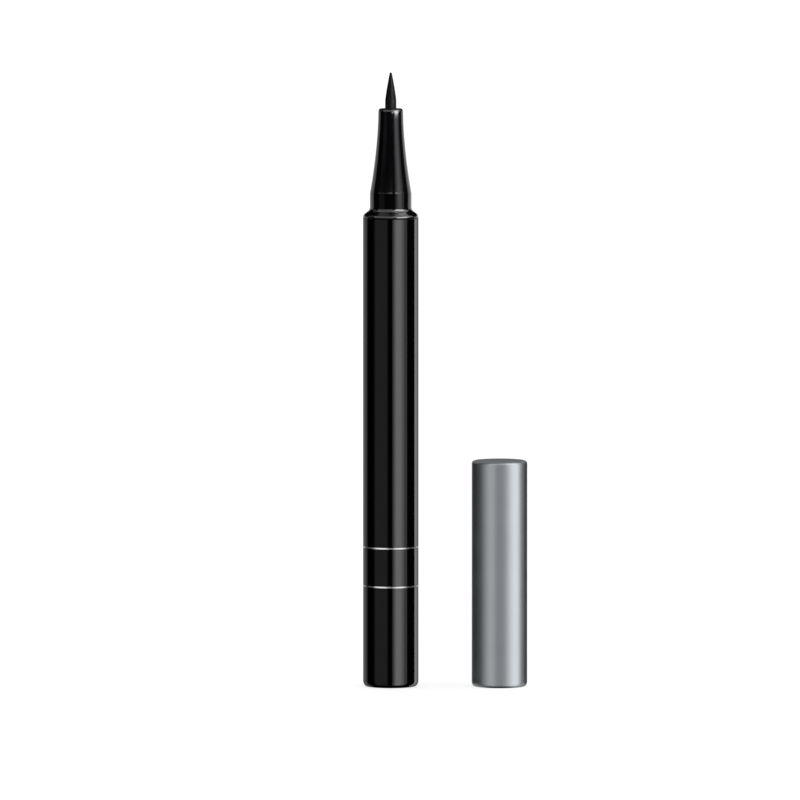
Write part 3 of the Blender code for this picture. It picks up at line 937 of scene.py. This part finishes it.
# %% Light the pen and the cap
pen_nodes = [frame["nodes"][name] for name in ("nib_holder", "reservoir_core", "reservoir_film")]
barrel_set = lit_set("barrel_set", barrel, plug, *pen_nodes)
band_set = lit_set("band_set", *band_pieces)
nozzle_set = lit_set("nozzle_set", nozzle)
nib_set = lit_set("nib_set", nib)
cap_set = lit_set("cap_set", cap, frame["nodes"]["cap_liner"])

STRIP = (-50, 50)
for name, lights, centre, azimuths, elevations, radiance in (
    ("barrel_right_1", barrel_set, PEN_CENTRE, (7, 71), STRIP, 0.7),
    ("barrel_right_2", barrel_set, PEN_CENTRE, (12.5, 58), STRIP, 0.7),
    ("barrel_right_3", barrel_set, PEN_CENTRE, (17, 50), STRIP, 0.75),
    ("barrel_right_4", barrel_set, PEN_CENTRE, (21, 42), STRIP, 0.6),
    ("barrel_left_1", barrel_set, PEN_CENTRE, (-73, -12), STRIP, 0.14),
    ("barrel_left_2", barrel_set, PEN_CENTRE, (-66, -16), STRIP, 0.12),
    ("barrel_left_3", barrel_set, PEN_CENTRE, (-58, -24), STRIP, 0.08),
    ("barrel_rim_left_1", barrel_set, PEN_CENTRE, (-165, -114), STRIP, 0.3),
    ("barrel_rim_left_2", barrel_set, PEN_CENTRE, (-150, -124), STRIP, 0.15),
    ("barrel_rim_right_1", barrel_set, PEN_CENTRE, (116, 135), STRIP, 1.2),
    ("barrel_rim_right_2", barrel_set, PEN_CENTRE, (116, 165), STRIP, 0.45),
    ("band_right", band_set, PEN_CENTRE, (14, 62), STRIP, 1.4),
    ("band_left", band_set, PEN_CENTRE, (-68, -14), STRIP, 1.25),
    ("band_rim_left", band_set, PEN_CENTRE, (-176, -132), STRIP, 0.55),
    ("band_rim_right_1", band_set, PEN_CENTRE, (110, 150), STRIP, 0.25),
    ("band_rim_right_2", band_set, PEN_CENTRE, (138, 178), STRIP, 0.5),
    ("nozzle_right_1", nozzle_set, TIP_CENTRE, (26, 78), (-40, 28), 0.55),
    ("nozzle_right_2", nozzle_set, TIP_CENTRE, (36, 66), (-40, 28), 0.7),
    ("nozzle_right_3", nozzle_set, TIP_CENTRE, (42, 58), (-40, 28), 0.35),
    ("nozzle_left", nozzle_set, TIP_CENTRE, (-68, -34), (-40, 10), 0.11),
    ("nozzle_rim_left", nozzle_set, TIP_CENTRE, (-170, -108), (-40, 12), 0.75),
    ("nozzle_rim_right", nozzle_set, TIP_CENTRE, (110, 170), (-40, 12), 1.2),
    ("nozzle_above_left", nozzle_set, TIP_CENTRE, (-84, 18), (20, 72), 1.7),
    ("nozzle_above_right", nozzle_set, TIP_CENTRE, (14, 85), (34, 72), 1.2),
    ("nozzle_strip_1", nozzle_set, TIP_CENTRE, (28, 80), (20, 44), 10.5),
    ("nozzle_strip_2", nozzle_set, TIP_CENTRE, (20, 98), (19, 60), 2.4),
    ("nozzle_side_left", nozzle_set, TIP_CENTRE, (-122, -90), (15, 50), 0.35),
    ("nozzle_side_right", nozzle_set, TIP_CENTRE, (85, 120), (20, 50), 2.0),
    ("nozzle_overhead_1", nozzle_set, TIP_CENTRE, (118, 144), (53, 69), 1.3),
    ("nozzle_overhead_2", nozzle_set, TIP_CENTRE, (102, 156), (48, 76), 1.2),
    ("nozzle_overhead_3", nozzle_set, TIP_CENTRE, (140, 245), (62, 88), 0.45),
    ("nib_right", nib_set, TIP_CENTRE, (25, 62), STRIP, 2.4),
    ("nib_left", nib_set, TIP_CENTRE, (-80, -40), STRIP, 0.12),
    ("nib_rims", nib_set, TIP_CENTRE, (110, 165), STRIP, 0.6),
    ("cap_right_1", cap_set, CAP_CENTRE, (30, 92), STRIP, 0.43),
    ("cap_right_2", cap_set, CAP_CENTRE, (44, 90), STRIP, 0.75),
    ("cap_right_3", cap_set, CAP_CENTRE, (64, 118), STRIP, 0.17),
    ("cap_front", cap_set, CAP_CENTRE, (-8, 42), STRIP, 0.33),
    ("cap_left_1", cap_set, CAP_CENTRE, (-78, -10), STRIP, 0.3),
    ("cap_left_2", cap_set, CAP_CENTRE, (-55, -18), STRIP, 0.32),
    ("cap_above", cap_set, CAP_CENTRE, (-50, 50), (35, 75), 0.45),
    ("cap_overhead", cap_set, CAP_CENTRE, (110, 250), (68, 88), 0.45),
    ("cap_above_right", cap_set, CAP_CENTRE, (50, 104), (36, 74), 0.9),
    ("cap_behind", cap_set, CAP_CENTRE, (158, 213), (-40, 12), 0.3),
    ("cap_high_right", cap_set, CAP_CENTRE, (100, 180), (18, 66), 0.22),
    ("cap_high_left", cap_set, CAP_CENTRE, (180, 260), (18, 66), 0.22),
    ("cap_low_right", cap_set, CAP_CENTRE, (98, 152), (-62, -14), 0.3),
    ("cap_low_behind", cap_set, CAP_CENTRE, (152, 208), (-62, -14), 0.3),
    ("cap_low_left", cap_set, CAP_CENTRE, (208, 262), (-62, -14), 0.3),
):
    softbox(name, lights, centre, azimuths, elevations, radiance)
for piece in cap_set.objects:
    piece.visible_glossy = False
print(len(bpy.data.lights), "softboxes")

# %% [markdown]
# ## Three small lamps beside the lip
#
# The highlight under the lip fades within two millimetres. A lamp far away can't do that, because every
# height of the cone mirrors the same part of it. A small lamp a centimetre from the lip can: the point
# that the cone mirrors drops quickly from the lip down, and runs off the lamp's lower edge. The three
# lamps end at different heights, which softens the fade.

# %% Light the lip
CLOSE = 10.0
LIP_LAMP_RISE = 0.6
LIP_CENTRE = Vector((0, 0, lip_top + LIP_LAMP_RISE))
for name, azimuths, elevations, radiance in (
    ("lip_glint_1", (8, 72), (-8, 10), 5.5),
    ("lip_glint_2", (34, 62), (-11, 10), 11.0),
    ("lip_glint_3", (30, 64), (-14, 10), 1.1),
):
    softbox(name, nozzle_set, LIP_CENTRE, azimuths, elevations, radiance, distance=CLOSE)
print("lip lit from", CLOSE, "mm away")
